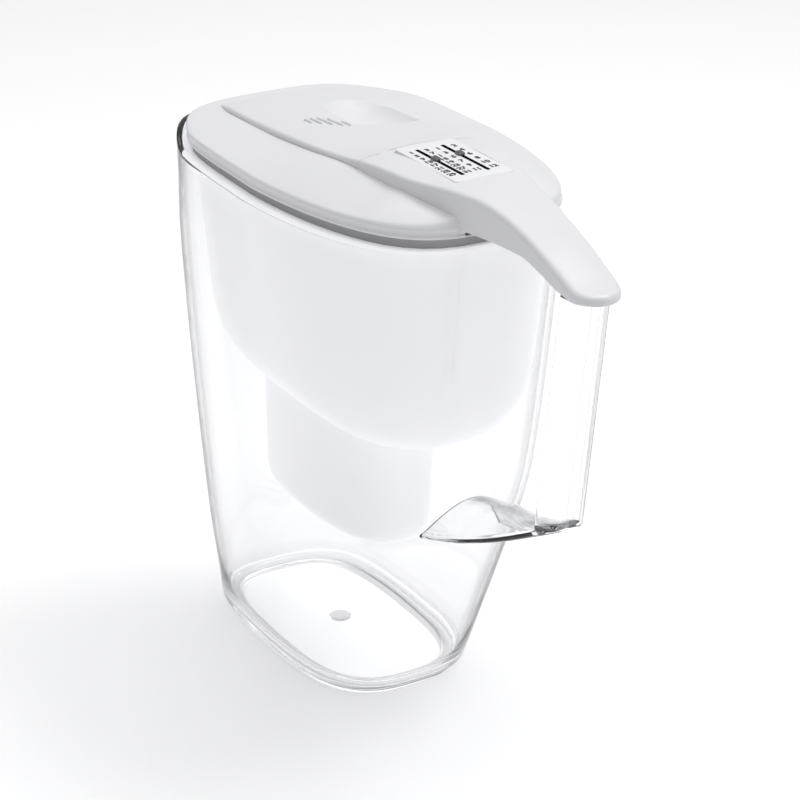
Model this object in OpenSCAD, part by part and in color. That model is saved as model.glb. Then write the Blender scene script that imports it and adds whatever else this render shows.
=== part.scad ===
// Household water filter pitcher: clear jug with a one-piece clear handle,
// hanging hopper with an oval cartridge in its well, and a white lid whose
// raised spine carries a hinged filling cover, a two-slide replacement
// reminder and an arm that reaches over the handle post.
// Millimetres. +Z up, +X towards the handle, spout at -X, origin at the
// centre of the resting face.

/* [Jug] */
// Length of the jug's foot along X
foot_len = 137.4; // [134:0.2:140]
// Width of the jug's foot
foot_wid = 84.4; // [80:0.2:88]
// Length of the jug's mouth along X
mouth_len = 203.0; // [200:0.5:206]
// Width of the jug's mouth
mouth_wid = 125.0; // [122:0.5:127]
// Height of the jug's rim, where the hopper's flange rests
rim_z = 236; // [235:0.5:236]
// Height of the raised pouring lip at the spout
lip_z = 243; // [240:0.5:244]
// Thickness of the jug's wall
wall = 2.3; // [2:0.1:2.6]
// Thickness of the jug's floor
floor_t = 4.6; // [4:0.2:6]

/* [Handle] */
// Half width of the handle post
post_hw = 9; // [8.5:0.5:10]
// Depth of the handle post along X
post_dp = 12; // [11:0.5:13]
// X of the post's outer face at its top
post_x_top = 200; // [199:0.1:201]
// X of the post's outer face at its bottom
post_x_bot = 187; // [186:0.1:188]

/* [Hopper] */
// Wall thickness of the hopper
hop_t = 1.8; // [1.5:0.1:2]
// Half length of the cartridge well
well_hl = 52; // [50:0.5:53]
// Half width of the cartridge well
well_hw = 26; // [25:0.5:27]
// Centre of the well along X
well_x = 9.5; // [8:0.5:11]
// Height of the well's underside
well_z = 70; // [68:1:74]

/* [Lid] */
// Thickness of the lid's skin
skin = 2.2; // [2:0.1:2.4]
// Half width of the lid
lid_w = 60.4; // [60:0.1:61]
// Height of the lid's outer edge
edge_z = 247.3; // [247:0.1:247.5]
// Length of the filling opening
fill_len = 96; // [80:1:98]
// Width of the filling opening
fill_wid = 44; // [36:1:45]

/* [Flip cover hinge] */
// X of the hinge axis
hinge_x = 67.5; // [67.4:0.1:67.6]
// Z of the hinge axis
hinge_z = 258.1; // [258:0.1:258.2]
// Radius of the steel hinge pin
pin_r = 0.5; // [0.4:0.05:0.55]
// Radial running clearance around the pin
pin_gap = 0.05; // [0.03:0.01:0.08]

/* [Reminder slides] */
// Length of each slot
slot_len = 36; // [34:1:37]
// Width of each slot
slot_w = 1.5; // [1.4:0.1:1.8]
// Y of the near slot
slot_y1 = -6.6; // [-7:0.1:-6]
// Y of the far slot
slot_y2 = 5.6; // [5:0.1:6]
// Centre of the reminder plate along X
plate_x = 97; // [96:0.5:98]

/* [Hidden] */
$fn = 64;

// ---- shared outline rules -------------------------------------------------
function pw(v, e) = sign(v) * pow(abs(v), e);
// closed outline between xf and xr: separate roundness of front, rear, sides
function outline(xf, xr, w, mf, mr, n, k, k2, off, N = 60) =
  [for (i = [0 : N - 1])
    let (t = 360 * i / N, c = cos(t), s = sin(t), u = pw(c, 2 / (c < 0 ? mf : mr)))
    [(xf + xr) / 2 + ((xr - xf) / 2 - off) * u,
     (w - off) * pw(s, 2 / n) * (1 + k * u + k2 * u * u)]];

// jug outline at height z, drawn in by off
function jug_rear(z) = lookup(z, [[0, foot_len / 2], [45, 87], [80, 101], [112, 113.2],
  [134, 117], [180, 123], [237, mouth_len - 72.6]]);
function jug_hw(z) = lookup(z, [[0, foot_wid / 2], [112, 53.4], [237, mouth_wid / 2]]);
function jug_front(z) = -68.4 - 4.4 * z / 243;
// fullness of the flanks towards the front
function jug_b(z) = lookup(z, [[0, 0], [20, 0.015], [50, 0.05], [110, 0.058], [190, 0.05], [214, 0.028], [230, 0.005], [243, 0]]);
function ease(v) = let (c = min(1, max(0, v))) c * c * (3 - 2 * c);
function jug_out(z, off = 0) = let (t = min(1, z / 237), b = jug_b(z))
  [for (p = outline(jug_front(z), jug_rear(z), jug_hw(z), 6 - 2.3 * t, 5 - 3.45 * t,
    2.9 + 0.3 * t, 0.06 * t, -0.15 + 0.2 * t, off)) [p[0], p[1] * (1 + b * ease(-p[0] / 45))]];
module slice(z, off) { translate([0, 0, z]) linear_extrude(0.01) polygon(jug_out(z, off)); }

// ---- generic solid from closed rings of points ---------------------------
function flat(l) = [for (a = l) for (b = a) b];
function rev(l) = [for (i = [len(l) - 1 : -1 : 0]) l[i]];
module rings(R) {
  n = len(R[0]); m = len(R);
  polyhedron(points = flat(R), faces = concat(
    [[for (i = [0 : n - 1]) i]],
    flat([for (j = [0 : m - 2]) flat([for (i = [0 : n - 1]) let (a = j * n + i, b = j * n + (i + 1) % n)
      [[a, a + n, b], [b, a + n, b + n]]])]),
    [[for (i = [n - 1 : -1 : 0]) (m - 1) * n + i]]));
}

// ---- lid shape rules -------------------------------------------------------
// narrowing of the lid's front so that it sits inside the jug's raised lip
function nose(x) = let (t = min(1, max(0, (-24 - x) / 28))) 1 - 0.052 * t * t * (3 - 2 * t);
function lid_out(off, N = 60) = [for (p = outline(-70.2, 131, lid_w, 3.7, 1.5, 3.2, 0.05, 0.05, off, N)) [p[0], p[1] * nose(p[0])]];
function lid_hw(x) = let (u = (x - 30.4) / 100.6, m = u < 0 ? 3.7 : 1.5)
  lid_w * nose(x) * (1 + 0.05 * u + 0.05 * u * u) * pow(max(0, 1 - pow(abs(u), m)), 1 / 3.2);
function wing_rise(x) = lookup(x, [[-69, 0], [-46, 0.9], [0, 3.1], [24, 5.1], [68, 9.1],
  [97, 9.7], [115, 8.4], [124, 6.2], [129, 3.5], [131, 2]]);
// height of the lid's outer edge along X
function edge(x) = edge_z - 1.5 * (1 - ease((x + 69) / 60));
// wing surface
function wing(x, y) = edge(x) + wing_rise(x) * (1 - pow(min(1, abs(y) / max(0.1, lid_hw(x))), 2.2));
// spine: centre height, crown, half width, lower edge
function sp_z(x) = lookup(x, [[-66, 249.6], [-46, 251.3], [0, 254.6], [24, 256.2], [60, 259.4],
  [72, 261.2], [97, 262.8], [120, 262.6], [140, 261.5], [153, 259.2], [166, 255.4], [180, 250.2], [190, 245.8],
  [198, 242.4], [204, 240.6], [206, 240.2]]);
function sp_c(x) = lookup(x, [[-66, 2.4], [100, 2.6], [140, 1.5], [206, 1.3]]);
function sp_a(x) = lookup(x, [[-66, 21], [-60, 25], [-46, 28.3], [0, 30.4], [24, 30], [68, 28.2],
  [97, 26.8], [110, 24], [120, 20.6], [130, 17.6], [140, 15.2], [153, 13.4], [166, 12.4],
  [180, 11.9], [192, 11.3], [198, 10.2], [202, 8.4], [204.5, 6], [206, 3.5]]);
function sp_b(x) = lookup(x, [[60, 242.6], [127, 242.6], [134, 245.4], [165, 245.2], [178, 242.2],
  [189, 238.6], [198, 237], [206, 236.6]]);
function sp_top(x, y) = sp_z(x) - sp_c(x) * pow(y / sp_a(x), 2);
// one cross ring of the spine, drawn in by o and lowered by d
function sp_ring(x, o, d, zb) = let (a = max(1, sp_a(x) - o))
  rev(concat([[x, -a, zb], [x, -a, sp_top(x, a) - d - 1]],
    [for (q = [-0.95, -0.66, -0.33, 0, 0.33, 0.66, 0.95]) [x, q * a, sp_top(x, q * a) - d]],
    [[x, a, sp_top(x, a) - d - 1], [x, a, zb]]));

// ---- jug -------------------------------------------------------------------
// D-shaped section of the handle post with its outer face at x0
function post_sec(x0, o) = concat(
  [for (i = [0 : 16]) let (t = -90 + 180 * i / 16)
    [x0 - post_dp + (post_dp - o) * pw(cos(t), 0.62), (post_hw - o) * pw(sin(t), 0.62)]],
  [[x0 - post_dp - (o > 0 ? 4 : 0), post_hw - o], [x0 - post_dp - (o > 0 ? 4 : 0), o - post_hw]]);
module post_slice(z, x0, o) { translate([0, 0, z]) linear_extrude(0.01) polygon(post_sec(x0, o)); }
// lower bracket: an arched web from the jug's back to the foot of the post
function br_hw(x) = lookup(x, [[92, 21], [104, 22], [133, 22], [150, 17.5], [170, 12], [180, 9.2], [184, 7.5], [187, 5]]);
function br_lo(x) = lookup(x, [[92, 95], [104, 98.5], [133, 109], [155, 117.5], [177, 128.5], [194, 137.6]]);
function br_cr(x) = lookup(x, [[92, 9], [108, 12], [133, 9], [155, 6], [177, 3], [194, 1]]);
function br_ring(x) = let (h = br_hw(x), q = [-1, -0.75, -0.5, -0.25, 0, 0.25, 0.5, 0.75, 1])
  concat([for (a = q) [x, a * h, br_lo(x) + br_cr(x) * (1 - a * a)]],
    [for (i = [8 : -1 : 0]) let (a = q[i]) [x, a * h, br_lo(x) + 3 + br_cr(x) * (1 - a * a)]]);
// rim cut level, rising to the lip at the spout
module rim_cut() translate([0, 80, 0]) rotate([90, 0, 0]) linear_extrude(160)
  polygon([[140, rim_z], [-38, rim_z], [-60, lip_z + 0.5], [-60, 262], [140, 262]]);
module spout_lip() color("azure", 0.35) difference() {
  hull() { for (z = [180, 214, lip_z]) slice(z, 0); }
  hull() { for (z = [140, 180, 214, lip_z + 3]) slice(z, wall); }
  rim_cut();
  translate([-100, -80, 100]) cube([240, 160, rim_z + 1.2 - 100]);
}
module jug() color("azure", 0.35) {
  difference() {
    union() {
      // outer wall
      hull() { for (z = [3.5, 24, 56, 84, 112, 140, 180, 214, lip_z]) slice(z, z < 4 ? 0.6 : 0); }
      // foot, drawn in under a small ledge
      linear_extrude(4) polygon(jug_out(0, 2));
      // handle post
      difference() {
        hull() { post_slice(130, post_x_bot - 0.5, 0); post_slice(235.6, post_x_top, 0); }
        hull() { post_slice(141.5, post_x_bot + 0.7, 3); post_slice(236.4, post_x_top, 3); }
        // outer corner under the post follows the bracket
        translate([177, -20, 129]) rotate([0, -28.2, 0]) translate([-40, 0, -40]) cube([90, 40, 40]);
      }
      rings([for (x = [98, 108, 120, 133, 142, 150, 160, 170, 178, 183, 186]) br_ring(x)]);
    }
    // inside, with a rounded bottom corner
    hull() {
      slice(floor_t, 6.8); slice(floor_t + 2.4, 3.6); slice(floor_t + 7, wall + 0.4);
      for (z = [28, 56, 84, 112, 140, 180, 214, lip_z + 3]) slice(z, wall);
    }
    rim_cut();
    // the raised lip is drawn as its own solid
    translate([-100, -80, rim_z + 1.2]) cube([130, 160, 40]);
  }
  // moulding gate on the floor
  translate([0, 0, floor_t - 0.5]) cylinder(r = 5.5, h = 1.6);
}

// ---- hopper ----------------------------------------------------------------
function hop_out(z, off) = let (t = min(1, z / 237))
  outline(-61 + (236 - z) * 0.05, jug_rear(z) - wall - 2, jug_hw(z) - wall - 3 - (236 - z) * 0.02,
    3.7, 5 - 3.45 * t, 3.1, 0.06 * t, -0.15 + 0.2 * t, off);
module hop_slice(z, off) { translate([0, 0, z]) linear_extrude(0.01) polygon(hop_out(z, off)); }
function well_out(off, N = 48) = outline(well_x - well_hl, well_x + well_hl, well_hw, 3, 3, 2.6, 0, 0, off, N);
module well_slice(z, off) { translate([0, 0, z]) linear_extrude(0.01) polygon(well_out(off)); }
// everything beyond the jug's inner wall where the rim rises to the lip
module lip_zone() difference() {
  translate([-100, -80]) square([64, 160]);
  polygon(jug_out(238, wall + 0.4));
}
module hopper() color("white") {
  difference() {
    union() {
      hull() { hop_slice(129.5, 33); hop_slice(132, 22); hop_slice(139, 11); hop_slice(149, 4); hop_slice(161, 0.6); hop_slice(175, 0); hop_slice(rim_z + 0.6, 0); }
      hull() { well_slice(well_z, 8.5); well_slice(well_z + 2.5, 4.2); well_slice(well_z + 8, 1.2); well_slice(134, 0); }
      // flange resting on the jug's rim
      translate([0, 0, rim_z]) linear_extrude(1.8) difference() {
        polygon(jug_out(236, 0.5));
        polygon(hop_out(236, 0.9));
        // pouring channel at the spout
        translate([-100, -19]) square([42.5, 38]);
        lip_zone();
      }
    }
    hull() { hop_slice(131.3, 34); hop_slice(133.8, 23); hop_slice(140.6, 12.4); hop_slice(150.3, 5.7); hop_slice(162, 2.4); hop_slice(175.5, hop_t); hop_slice(rim_z + 4, hop_t); }
    hull() { well_slice(well_z + 1.8, 9.6); well_slice(well_z + 4.2, 5.8); well_slice(well_z + 9, 3); well_slice(140, hop_t); }
    // drain slots in the well's floor
    for (i = [-3 : 3]) translate([well_x + i * 11 - 1.5, -11, well_z - 1]) cube([3, 22, 5]);
  }
}

// ---- cartridge -------------------------------------------------------------
cart_z = well_z + 1.8;
module cart_poly(off) { polygon(well_out(off)); }
module cartridge_body() color("whitesmoke") {
  difference() {
    union() {
      translate([0, 0, cart_z]) linear_extrude(6) cart_poly(10.6);
      translate([0, 0, cart_z + 4.6]) linear_extrude(57) cart_poly(5.2);
      translate([0, 0, 131.6]) linear_extrude(2) cart_poly(2.4);
    }
    translate([0, 0, cart_z + 6.4]) linear_extrude(70) cart_poly(6.7);
    // outlet slots
    for (i = [-3 : 3]) translate([well_x + i * 10 - 1, -8, cart_z - 1]) cube([2, 16, 9]);
  }
}
module lower_mesh() color("gainsboro")
  translate([0, 0, cart_z + 6.4]) linear_extrude(0.8) cart_poly(7.0);
module resin_bed() color("peru")
  translate([0, 0, cart_z + 7.3]) linear_extrude(22) cart_poly(7.1);
module carbon_bed() color("dimgray")
  translate([0, 0, cart_z + 29.3]) linear_extrude(22) cart_poly(7.1);
module upper_mesh() color("gainsboro")
  translate([0, 0, cart_z + 51.4]) linear_extrude(0.8) cart_poly(7.0);
module cartridge_seal() color("lightsteelblue")
  translate([0, 0, 129.8]) linear_extrude(1.7) difference() { cart_poly(2.3); cart_poly(5.2); }
module cartridge_cap() color("white") {
  difference() {
    union() {
      translate([0, 0, 133.6]) linear_extrude(2.6) cart_poly(3.2);
      translate([0, 0, 136]) linear_extrude(4) cart_poly(9);
    }
    translate([0, 0, 133]) linear_extrude(5.2) cart_poly(11);
    // inlet slots round the top
    for (i = [-3 : 3]) if (i != 0) translate([well_x + i * 10 - 1, -10, 137]) cube([2, 20, 5]);
    // vent holes
    for (s = [-1, 1]) translate([well_x, s * 13, 130]) cylinder(r = 1.2, h = 14);
  }
}
module cartridge_grip() color("white")
  translate([well_x, 0, 140]) difference() {
    rotate([90, 0, 0]) translate([0, 0, -2]) linear_extrude(4)
      polygon([[-17, 0], [-13, 12], [-9, 14], [9, 14], [13, 12], [17, 0]]);
    translate([0, 4, 6.5]) rotate([90, 0, 0]) cylinder(r = 4, h = 8);
  }

// ---- lid -------------------------------------------------------------------
lid_c = [66, 0];
function dome_ring(s, o, d, N = 60) = [for (p = lid_out(o, N))
  let (x = lid_c[0] + s * (p[0] - lid_c[0]), y = s * p[1]) [x, y, wing(x, y) - d]];
function plane_ring(o, z, N = 60) = [for (p = lid_out(o, N)) [p[0], p[1], z]];
function edge_ring(o, d) = [for (p = lid_out(o)) [p[0], p[1], edge(p[0]) - d]];
module dome_outer() rings(concat([plane_ring(0.5, 242.2), plane_ring(0, 242.8), edge_ring(0, 0.8), edge_ring(1, 0)],
  [for (s = [0.95, 0.88, 0.79, 0.68, 0.55, 0.4, 0.22]) dome_ring(s, 1, 0)],
  [[for (p = lid_out(1)) [lid_c[0] + 0.05 * (p[0] - lid_c[0]), 0.05 * p[1], 255.6]]]));
module dome_inner() rings(concat([plane_ring(3, 241.5), edge_ring(3, skin)],
  [for (s = [0.93, 0.86, 0.79, 0.68, 0.55, 0.4, 0.22]) dome_ring(s, 3, skin)],
  [[for (p = lid_out(3)) [lid_c[0] + 0.05 * (p[0] - lid_c[0]), 0.05 * p[1], 254.2]]]));
sx = [69.2, 72, 76, 86, 97, 108, 114, 120, 126, 130, 134, 140, 146, 153, 160, 166, 173, 180, 186, 192, 198, 202, 204.5, 206];
module spine_outer() rings([for (x = sx) sp_ring(x, 0, 0, sp_b(x))]);
module spine_inner() rings([for (x = [72.2, 76, 86, 97, 108, 120, 126, 130, 134, 140, 153, 166, 180, 192, 198, 202.4]) sp_ring(x, skin, skin, sp_b(x) - 1.5)]);
// finger scoop: a capsule along X, of radius r
module scoop(r) {
  for (x = [-8, 14]) translate([x, 14, 270.2]) sphere(r = r);
  translate([-8, 14, 270.2]) rotate([0, 90, 0]) cylinder(r = r, h = 22);
}
module pocket(o, z0, h) translate([plate_x, 0, z0]) linear_extrude(h)
  for (sx1 = [-1, 1]) { square([49 - 2 * o - 5, 28 - 2 * o], center = true); square([49 - 2 * o, 28 - 2 * o - 5], center = true);
    for (sy = [-1, 1]) translate([sx1 * (22 - o), sy * (11.5 - o)]) circle(r = 2.5); }
module lid_shell() color("white") {
  difference() {
    union() {
      difference() {
        union() { dome_outer(); spine_outer(); }
        dome_inner();
        spine_inner();
      }
      // pad that carries the reminder plate
      intersection() { spine_outer(); translate([plate_x - 27, -16.5, 258.4]) cube([54, 33, 8]); }
    }
    // filling opening
    translate([2 - fill_len / 2, -fill_wid / 2, 235]) cube([fill_len, fill_wid, 30]);
    scoop(24.9);
    // trough that lets the cover's rounded rear edge turn
    lug(-19.8, 19.8, 2.95);
    lug(-24, 24, 1.95);
    // seat of the reminder plate
    pocket(0, rz, 8);
    pocket(3, 250, 12);
    // pouring gap
    translate([-80, -15, 236]) cube([11.6, 30, 12]);
  }
  // hinge lugs
  for (y = [-14, 11]) difference() {
    union() {
      lug(y, y + 3, 1.05);
      translate([hinge_x - 2.4, y, hinge_z - 3]) cube([1.9, 3, 3.2]);
    }
    lug(-19, 19, pin_r + pin_gap);
  }
}
module lug(y0, y1, r) translate([hinge_x, y0, hinge_z]) rotate([-90, 0, 0]) cylinder(r = r, h = y1 - y0);
module lid_liner() color("white") {
  difference() {
    union() {
      // plate under the wings
      translate([0, 0, 239.4]) linear_extrude(1.9) polygon(lid_out(6));
      // skirt that drops inside the lid's edge and rests on the hopper's flange
      translate([0, 0, rim_z + 1.8]) linear_extrude(4.4) difference() { polygon(lid_out(2)); polygon(lid_out(4.8)); }
      translate([0, 0, rim_z + 3.4]) linear_extrude(1.9) difference() { polygon(lid_out(2)); polygon(lid_out(6.4)); }
      // collar round the filling opening
      translate([2 - fill_len / 2 - 2, -fill_wid / 2 - 2, 232]) cube([fill_len + 4, fill_wid + 4, 9]);
    }
    translate([2 - fill_len / 2, -fill_wid / 2, 225]) cube([fill_len, fill_wid, 14.5]);
    translate([2 - fill_len / 2, -fill_wid / 2, 235]) cube([fill_len, fill_wid, 10]);
    // pouring channel at the spout
    translate([-80, -16, 230]) cube([20, 32, 9.4]);
  }
}
module hinge_pin() color("silver") lug(-13.9, 13.9, pin_r);
module arm_underside() color("whitesmoke") {
  intersection() {
    rotate([90, 0, 0]) translate([0, 0, -20]) linear_extrude(40)
      polygon([[136, 246.4], [165, 246], [178, 243], [189, 239.6], [199.5, 237.4], [199.5, 238], [189, 241], [178, 244.8], [165, 248], [136, 248.4]]);
    translate([0, 0, 230]) linear_extrude(40) polygon(concat(
      [for (x = [136, 140, 146, 153, 166, 180, 192, 199.5]) [x, -sp_a(x) + 2.5]],
      [for (x = [199.5, 192, 180, 166, 153, 146, 140, 136]) [x, sp_a(x) - 2.5]]));
  }
}
// ---- flip cover ------------------------------------------------------------
fx = [-60, -53, -46, -34, -22, -10, 2, 13, 24, 35, 46, 57, 63, 67.5, 68.7];
// cross ring of the cover, drawn in by o; deep ones reach down to z 243
function fc_ring(x, o, deep) = let (a = sp_a(x) - 0.1 - o, t = [-0.95, -0.66, -0.33, 0, 0.33, 0.66, 0.95])
  rev(concat([[x, -a, wing(x, a) + 0.35 + o], [x, -a, max(wing(x, a) + 0.6 + o, sp_top(x, a) - 0.8 - o / 2)]],
    [for (q = t) [x, q * a, sp_top(x, q * a) - o]],
    [[x, a, max(wing(x, a) + 0.6 + o, sp_top(x, a) - 0.8 - o / 2)], [x, a, wing(x, a) + 0.35 + o]],
    [for (y = [23.5, 21, 0, -21, -23.5]) [x, y, abs(y) > 22 ? wing(x, y) + 0.35 + o : deep ? 243 : x < -45 ? wing(x, y) + 0.35 : min(wing(x, y) + (x > 40 ? 0.9 : 0.35), sp_top(x, y) - skin)]]));
module flip_cover() color("white") {
  difference() {
    union() {
      rings([for (x = fx) fc_ring(x, 0, false)]);
      intersection() { scoop(24.2); rings([for (x = [-36, -22, -10, 2, 13, 24, 35, 42]) fc_ring(x, 0.7, true)]); }
      // rear edge, rounded about the hinge axis
      intersection() {
        lug(-19.4, 19.4, 2.4);
        rings([for (x = [63, 65, 67, 69, 71]) fc_ring(x, 0.01, true)]);
      }
    }
    scoop(22);
    lug(-17, 17, pin_r + pin_gap);
    // room for the hinge lugs
    for (y = [-14.3, 10.7]) {
      lug(y, y + 3.6, 1.35);
      translate([hinge_x - 3.4, y, hinge_z - 6]) cube([6.4, 3.6, 6]);
      translate([hinge_x - 3.4, y, hinge_z - 1]) cube([3.4, 3.6, 1.35]);
    }
  }
  // grip ridges beside the scoop
  for (r = [[-1, 6, -14.7], [-0.5, 11, -12.2], [1, 15.6, -9.6], [5.5, 20, -7], [13.5, 22, -4.4]])
    translate([r[0], r[2] - 0.45, sp_top(r[0], r[2]) - 0.8]) rotate([0, -4.4, 0]) cube([r[1] - r[0], 0.9, 1.5]);
}
// ---- reminder --------------------------------------------------------------
rz = 259.6;
module reminder_plate() color("whitesmoke") difference() {
  pocket(0.3, rz, 2.2);
  for (y = [slot_y1, slot_y2]) translate([plate_x - slot_len / 2, y - slot_w / 2, rz - 1]) cube([slot_len, slot_w, 5]);
}
module slide_track() color("gray") difference() {
  translate([plate_x - 22.5, -12, 255.2]) cube([45, 24, 3.2]);
  for (y = [slot_y1, slot_y2]) translate([plate_x - slot_len / 2 - 2, y - 2.6, 256.8]) cube([slot_len + 4, 5.2, 4]);
}
module slide_body(x, y) {
  translate([x - 3, y - 2.2, 257]) cube([6, 4.4, 1.2]);
  translate([x - 1.4, y - 0.6, 258]) cube([2.8, 1.2, 4.4]);
  translate([x - 2, y - 1.6, rz + 2.4]) cube([4, 3.2, 1.3]);
}
module month_slide() color("gray") slide_body(93, slot_y2);
module day_slide() color("gray") slide_body(94, slot_y1);

jug();
spout_lip();
hopper();
cartridge_body();
cartridge_cap();
cartridge_grip();
cartridge_seal();
upper_mesh();
lower_mesh();
carbon_bed();
resin_bed();
lid_shell();
lid_liner();
arm_underside();
flip_cover();
hinge_pin();
reminder_plate();
slide_track();
month_slide();
day_slide();
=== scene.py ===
import bpy
import bmesh
import math
import numpy as np
from mathutils import Matrix, Vector


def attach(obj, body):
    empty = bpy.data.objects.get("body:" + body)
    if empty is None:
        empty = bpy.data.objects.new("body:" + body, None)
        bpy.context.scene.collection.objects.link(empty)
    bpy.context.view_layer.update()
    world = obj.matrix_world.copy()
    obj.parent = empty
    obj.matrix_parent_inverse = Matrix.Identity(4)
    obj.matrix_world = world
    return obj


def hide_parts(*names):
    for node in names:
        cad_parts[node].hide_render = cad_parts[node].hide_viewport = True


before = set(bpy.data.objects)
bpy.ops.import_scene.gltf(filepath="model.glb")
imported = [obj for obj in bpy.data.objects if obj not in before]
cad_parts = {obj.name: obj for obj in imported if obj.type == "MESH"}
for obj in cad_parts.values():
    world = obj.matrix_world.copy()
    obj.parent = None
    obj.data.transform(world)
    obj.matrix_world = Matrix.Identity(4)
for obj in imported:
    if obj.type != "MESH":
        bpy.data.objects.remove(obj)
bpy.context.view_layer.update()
MM = 0.001
scene = bpy.context.scene


# --------------------------------------------------------------- curves
def curve(table):
    """Monotone cubic through a table of pairs."""
    xs = np.array([t[0] for t in table], float)
    ys = np.array([t[1] for t in table], float)
    h = np.diff(xs)
    d = np.diff(ys) / h
    m = np.zeros_like(ys)
    for i in range(1, len(xs) - 1):
        if d[i - 1] * d[i] > 0:
            w1, w2 = 2 * h[i] + h[i - 1], h[i] + 2 * h[i - 1]
            m[i] = (w1 + w2) / (w1 / d[i - 1] + w2 / d[i])
    m[0], m[-1] = d[0], d[-1]

    def f(x):
        x = np.clip(np.asarray(x, float), xs[0], xs[-1])
        i = np.clip(np.searchsorted(xs, x, side="right") - 1, 0, len(xs) - 2)
        t = (x - xs[i]) / h[i]
        return ((2 * t**3 - 3 * t**2 + 1) * ys[i] + (t**3 - 2 * t**2 + t) * h[i] * m[i]
                + (-2 * t**3 + 3 * t**2) * ys[i + 1] + (t**3 - t**2) * h[i] * m[i + 1])
    return f


def smooth(t):
    t = np.clip(t, 0, 1)
    return t * t * (3 - 2 * t)


def half_resample(x, y, n):
    s = np.concatenate([[0], np.cumsum(np.hypot(np.diff(x), np.diff(y)))])
    q = np.linspace(0, s[-1], n)
    return np.interp(q, s, x), np.interp(q, s, y)


NR = 240


def outline(xf, xr, w, mf, mr, n, k, k2, off=0.0, N=NR, nose=None):
    """Closed outline with even spacing, from +X over +Y to -X and back."""
    t = np.linspace(0, np.pi, 1400)
    c = np.cos(t)
    u1 = np.sign(c) * np.abs(c) ** (2 / np.where(c < 0, mf, mr))
    u = np.unique(np.concatenate([u1, np.linspace(-1, 1, 1400)]))[::-1]
    m = np.where(u < 0, mf, mr)
    y = (w - off) * np.clip(1 - np.abs(u) ** m, 0, 1) ** (1 / n) * (1 + k * u + k2 * u * u)
    x = (xf + xr) / 2 + ((xr - xf) / 2 - off) * u
    if nose is not None:
        y = y * nose(x)
    x, y = half_resample(x, y, N // 2 + 1)
    return np.stack([np.concatenate([x, x[-2:0:-1]]), np.concatenate([y, -y[-2:0:-1]])], 1)


def at(P, z):
    return np.column_stack([P, np.full(len(P), float(z)) if np.isscalar(z) else z])


# --------------------------------------------------------------- meshes
def make(name, verts, faces, body=None, mat=None, slot=None, angle=35.0):
    me = bpy.data.meshes.new(name)
    me.from_pydata((np.asarray(verts, float) * MM).tolist(), [], faces)
    bm = bmesh.new()
    bm.from_mesh(me)
    if bm.calc_volume(signed=True) < 0:
        bmesh.ops.reverse_faces(bm, faces=bm.faces)
    bm.to_mesh(me)
    bm.free()
    ob = bpy.data.objects.new(name, me)
    scene.collection.objects.link(ob)
    shade(ob, angle)
    return ob


def shade(ob, angle=35.0):
    ob.data.shade_smooth()
    ob.data.set_sharp_from_angle(angle=math.radians(angle))


def loft(rings, cap0=True, cap1=True):
    n = len(rings[0])
    faces = []
    for j in range(len(rings) - 1):
        a, b = j * n, (j + 1) * n
        for i in range(n):
            k = (i + 1) % n
            faces.append((a + i, a + k, b + k, b + i))
    if cap0:
        faces.append(tuple(range(n - 1, -1, -1)))
    if cap1:
        faces.append(tuple((len(rings) - 1) * n + i for i in range(n)))
    return np.vstack(rings), faces


def solid(name, rings, angle=35.0):
    v, f = loft(rings)
    return make(name, v, f, angle=angle)


def box(name, x0, y0, z0, x1, y1, z1):
    v = [(x, y, z) for z in (z0, z1) for (x, y) in ((x0, y0), (x1, y0), (x1, y1), (x0, y1))]
    f = [(0, 3, 2, 1), (4, 5, 6, 7), (0, 1, 5, 4), (1, 2, 6, 5), (2, 3, 7, 6), (3, 0, 4, 7)]
    return make(name, v, f)


def rod_y(name, x, z, y0, y1, r, n=64):
    a = np.linspace(0, 2 * np.pi, n, endpoint=False)
    R = [np.column_stack([x + r * np.cos(a), np.full(n, y), z + r * np.sin(a)]) for y in (y0, y1)]
    return solid(name, R)


def join(name, obs):
    bm = bmesh.new()
    for o in obs:
        bm.from_mesh(o.data)
    me = bpy.data.meshes.new(name)
    bm.to_mesh(me)
    bm.free()
    for o in obs:
        drop(o)
    ob = bpy.data.objects.new(name, me)
    scene.collection.objects.link(ob)
    return ob


def drop(o):
    me = o.data
    bpy.data.objects.remove(o)
    if me.users == 0:
        bpy.data.meshes.remove(me)


def boolean(a, b, op, angle=35.0):
    m = a.modifiers.new("cut", "BOOLEAN")
    m.operation, m.object, m.solver = op, b, "EXACT"
    m.use_self = False
    dg = bpy.context.evaluated_depsgraph_get()
    me = bpy.data.meshes.new_from_object(a.evaluated_get(dg))
    a.modifiers.clear()
    old = a.data
    a.data = me
    me.name = a.name
    bpy.data.meshes.remove(old)
    drop(b)
    shade(a, angle)
    return a


def soften(ob, width, segments=2, angle=35.0):
    """A small rounded edge all over, for CAD nodes and simple pieces."""
    m = ob.modifiers.new("edge", "BEVEL")
    m.width, m.segments, m.limit_method = width * MM, segments, "ANGLE"
    m.angle_limit = math.radians(angle)
    m.harden_normals = False


# --------------------------------------------------------------- materials
def nodes_of(mat):
    mat.use_nodes = True
    nt = mat.node_tree
    nt.nodes.clear()
    return nt


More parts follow.
